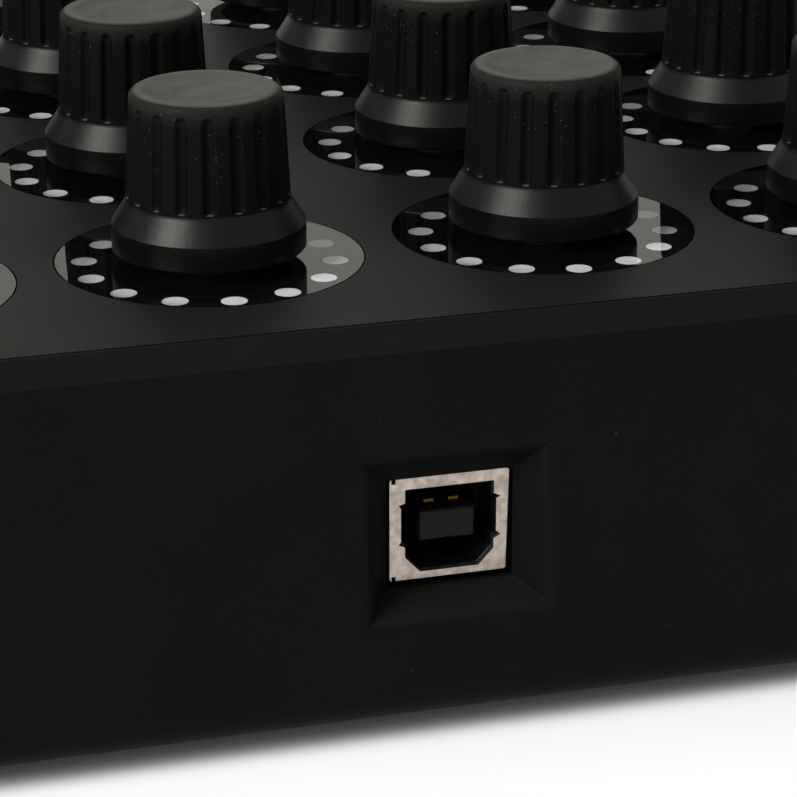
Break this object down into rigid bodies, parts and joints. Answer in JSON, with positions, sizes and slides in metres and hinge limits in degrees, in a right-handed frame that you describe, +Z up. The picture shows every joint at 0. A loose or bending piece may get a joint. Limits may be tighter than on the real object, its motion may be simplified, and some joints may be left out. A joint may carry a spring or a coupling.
{
  "type": "midi controller",
  "caption": "Square desktop music controller with a grid of push-and-turn knobs over ringed light windows, sprung side buttons and a type-B data socket in its rear wall.",
  "frame": {"origin": "under the middle of the body, on the surface that the rubber feet stand on", "axes": "+Z up, +Y towards the wall with the data socket (the rear), +X to the right as seen by someone facing the socket's opposite wall from the front"},
  "size_m": [0.166, 0.166, 0.0584],
  "materials": {
    "shell": "satin moulded plastic",
    "faceplate": "fine-grained satin anodised metal",
    "base": "satin moulded plastic",
    "disc": "clear, high gloss",
    "mask": "black print",
    "light_guide": "milky translucent",
    "board": "solder mask",
    "led": "clear moulded",
    "chip": "moulded",
    "encoder_case": "die cast",
    "wafer": "laminate",
    "steel": "stamped",
    "rotor": "moulded",
    "switch": "moulded",
    "socket_metal": "nickel plated sheet",
    "socket_plastic": "moulded",
    "contact": "gold plated",
    "screw": "blackened",
    "foot": "matte",
    "knob": "soft-touch matte",
    "button": "satin"
  },
  "bodies": {
    "chassis": {"top_shell": "shell", "faceplate": "faceplate", "bottom_cover": "base", "indicator_discs": "disc", "mask_rings": "mask", "light_guides": "light_guide", "circuit_board": "board", "ring_leds": "led", "board_chips": "chip", "encoder_cases": "encoder_case", "encoder_bases": "wafer", "switch_domes": "steel", "side_switches": "switch", "usb_shell": "socket_metal", "usb_insert": "socket_plastic", "usb_contacts": "contact", "cover_screws": "screw", "board_screws": "screw", "rubber_feet": "foot"},
    "rotor_1": {"encoder_rotor_1": "rotor"},
    "dial_1": {"knob_1": "knob"},
    "rotor_2": {"encoder_rotor_2": "rotor"},
    "dial_2": {"knob_2": "knob"},
    "rotor_3": {"encoder_rotor_3": "rotor"},
    "dial_3": {"knob_3": "knob"},
    "rotor_4": {"encoder_rotor_4": "rotor"},
    "dial_4": {"knob_4": "knob"},
    "rotor_5": {"encoder_rotor_5": "rotor"},
    "dial_5": {"knob_5": "knob"},
    "rotor_6": {"encoder_rotor_6": "rotor"},
    "dial_6": {"knob_6": "knob"},
    "rotor_7": {"encoder_rotor_7": "rotor"},
    "dial_7": {"knob_7": "knob"},
    "rotor_8": {"encoder_rotor_8": "rotor"},
    "dial_8": {"knob_8": "knob"},
    "rotor_9": {"encoder_rotor_9": "rotor"},
    "dial_9": {"knob_9": "knob"},
    "rotor_10": {"encoder_rotor_10": "rotor"},
    "dial_10": {"knob_10": "knob"},
    "rotor_11": {"encoder_rotor_11": "rotor"},
    "dial_11": {"knob_11": "knob"},
    "rotor_12": {"encoder_rotor_12": "rotor"},
    "dial_12": {"knob_12": "knob"},
    "rotor_13": {"encoder_rotor_13": "rotor"},
    "dial_13": {"knob_13": "knob"},
    "rotor_14": {"encoder_rotor_14": "rotor"},
    "dial_14": {"knob_14": "knob"},
    "rotor_15": {"encoder_rotor_15": "rotor"},
    "dial_15": {"knob_15": "knob"},
    "rotor_16": {"encoder_rotor_16": "rotor"},
    "dial_16": {"knob_16": "knob"},
    "button_1": {"side_button_1": "button"},
    "button_2": {"side_button_2": "button"},
    "button_3": {"side_button_3": "button"},
    "button_4": {"side_button_4": "button"},
    "button_5": {"side_button_5": "button"},
    "button_6": {"side_button_6": "button"}
  },
  "joints": [
    {"name": "turn_1", "type": "hinge", "parent": "chassis", "child": "rotor_1", "pos_m": [-0.0525, 0.0525, 0.041], "axis": [0, 0, -1], "continuous": true},
    {"name": "push_1", "type": "slide", "parent": "rotor_1", "child": "dial_1", "axis": [0, 0, -1], "range_m": [0, 0.0005], "stiffness_N_per_m": 3000},
    {"name": "turn_2", "type": "hinge", "parent": "chassis", "child": "rotor_2", "pos_m": [-0.0175, 0.0525, 0.041], "axis": [0, 0, -1], "continuous": true},
    {"name": "push_2", "type": "slide", "parent": "rotor_2", "child": "dial_2", "axis": [0, 0, -1], "range_m": [0, 0.0005], "stiffness_N_per_m": 3000},
    {"name": "turn_3", "type": "hinge", "parent": "chassis", "child": "rotor_3", "pos_m": [0.0175, 0.0525, 0.041], "axis": [0, 0, -1], "continuous": true},
    {"name": "push_3", "type": "slide", "parent": "rotor_3", "child": "dial_3", "axis": [0, 0, -1], "range_m": [0, 0.0005], "stiffness_N_per_m": 3000},
    {"name": "turn_4", "type": "hinge", "parent": "chassis", "child": "rotor_4", "pos_m": [0.0525, 0.0525, 0.041], "axis": [0, 0, -1], "continuous": true},
    {"name": "push_4", "type": "slide", "parent": "rotor_4", "child": "dial_4", "axis": [0, 0, -1], "range_m": [0, 0.0005], "stiffness_N_per_m": 3000},
    {"name": "turn_5", "type": "hinge", "parent": "chassis", "child": "rotor_5", "pos_m": [-0.0525, 0.0175, 0.041], "axis": [0, 0, -1], "continuous": true},
    {"name": "push_5", "type": "slide", "parent": "rotor_5", "child": "dial_5", "axis": [0, 0, -1], "range_m": [0, 0.0005], "stiffness_N_per_m": 3000},
    {"name": "turn_6", "type": "hinge", "parent": "chassis", "child": "rotor_6", "pos_m": [-0.0175, 0.0175, 0.041], "axis": [0, 0, -1], "continuous": true},
    {"name": "push_6", "type": "slide", "parent": "rotor_6", "child": "dial_6", "axis": [0, 0, -1], "range_m": [0, 0.0005], "stiffness_N_per_m": 3000},
    {"name": "turn_7", "type": "hinge", "parent": "chassis", "child": "rotor_7", "pos_m": [0.0175, 0.0175, 0.041], "axis": [0, 0, -1], "continuous": true},
    {"name": "push_7", "type": "slide", "parent": "rotor_7", "child": "dial_7", "axis": [0, 0, -1], "range_m": [0, 0.0005], "stiffness_N_per_m": 3000},
    {"name": "turn_8", "type": "hinge", "parent": "chassis", "child": "rotor_8", "pos_m": [0.0525, 0.0175, 0.041], "axis": [0, 0, -1], "continuous": true},
    {"name": "push_8", "type": "slide", "parent": "rotor_8", "child": "dial_8", "axis": [0, 0, -1], "range_m": [0, 0.0005], "stiffness_N_per_m": 3000},
    {"name": "turn_9", "type": "hinge", "parent": "chassis", "child": "rotor_9", "pos_m": [-0.0525, -0.0175, 0.041], "axis": [0, 0, -1], "continuous": true},
    {"name": "push_9", "type": "slide", "parent": "rotor_9", "child": "dial_9", "axis": [0, 0, -1], "range_m": [0, 0.0005], "stiffness_N_per_m": 3000},
    {"name": "turn_10", "type": "hinge", "parent": "chassis", "child": "rotor_10", "pos_m": [-0.0175, -0.0175, 0.041], "axis": [0, 0, -1], "continuous": true},
    {"name": "push_10", "type": "slide", "parent": "rotor_10", "child": "dial_10", "axis": [0, 0, -1], "range_m": [0, 0.0005], "stiffness_N_per_m": 3000},
    {"name": "turn_11", "type": "hinge", "parent": "chassis", "child": "rotor_11", "pos_m": [0.0175, -0.0175, 0.041], "axis": [0, 0, -1], "continuous": true},
    {"name": "push_11", "type": "slide", "parent": "rotor_11", "child": "dial_11", "axis": [0, 0, -1], "range_m": [0, 0.0005], "stiffness_N_per_m": 3000},
    {"name": "turn_12", "type": "hinge", "parent": "chassis", "child": "rotor_12", "pos_m": [0.0525, -0.0175, 0.041], "axis": [0, 0, -1], "continuous": true},
    {"name": "push_12", "type": "slide", "parent": "rotor_12", "child": "dial_12", "axis": [0, 0, -1], "range_m": [0, 0.0005], "stiffness_N_per_m": 3000},
    {"name": "turn_13", "type": "hinge", "parent": "chassis", "child": "rotor_13", "pos_m": [-0.0525, -0.0525, 0.041], "axis": [0, 0, -1], "continuous": true},
    {"name": "push_13", "type": "slide", "parent": "rotor_13", "child": "dial_13", "axis": [0, 0, -1], "range_m": [0, 0.0005], "stiffness_N_per_m": 3000},
    {"name": "turn_14", "type": "hinge", "parent": "chassis", "child": "rotor_14", "pos_m": [-0.0175, -0.0525, 0.041], "axis": [0, 0, -1], "continuous": true},
    {"name": "push_14", "type": "slide", "parent": "rotor_14", "child": "dial_14", "axis": [0, 0, -1], "range_m": [0, 0.0005], "stiffness_N_per_m": 3000},
    {"name": "turn_15", "type": "hinge", "parent": "chassis", "child": "rotor_15", "pos_m": [0.0175, -0.0525, 0.041], "axis": [0, 0, -1], "continuous": true},
    {"name": "push_15", "type": "slide", "parent": "rotor_15", "child": "dial_15", "axis": [0, 0, -1], "range_m": [0, 0.0005], "stiffness_N_per_m": 3000},
    {"name": "turn_16", "type": "hinge", "parent": "chassis", "child": "rotor_16", "pos_m": [0.0525, -0.0525, 0.041], "axis": [0, 0, -1], "continuous": true},
    {"name": "push_16", "type": "slide", "parent": "rotor_16", "child": "dial_16", "axis": [0, 0, -1], "range_m": [0, 0.0005], "stiffness_N_per_m": 3000},
    {"name": "press_1", "type": "slide", "parent": "chassis", "child": "button_1", "axis": [-1, 0, 0], "range_m": [0, 0.0005], "stiffness_N_per_m": 2000},
    {"name": "press_2", "type": "slide", "parent": "chassis", "child": "button_2", "axis": [-1, 0, 0], "range_m": [0, 0.0005], "stiffness_N_per_m": 2000},
    {"name": "press_3", "type": "slide", "parent": "chassis", "child": "button_3", "axis": [-1, 0, 0], "range_m": [0, 0.0005], "stiffness_N_per_m": 2000},
    {"name": "press_4", "type": "slide", "parent": "chassis", "child": "button_4", "axis": [1, 0, 0], "range_m": [0, 0.0005], "stiffness_N_per_m": 2000},
    {"name": "press_5", "type": "slide", "parent": "chassis", "child": "button_5", "axis": [1, 0, 0], "range_m": [0, 0.0005], "stiffness_N_per_m": 2000},
    {"name": "press_6", "type": "slide", "parent": "chassis", "child": "button_6", "axis": [1, 0, 0], "range_m": [0, 0.0005], "stiffness_N_per_m": 2000}
  ]
}
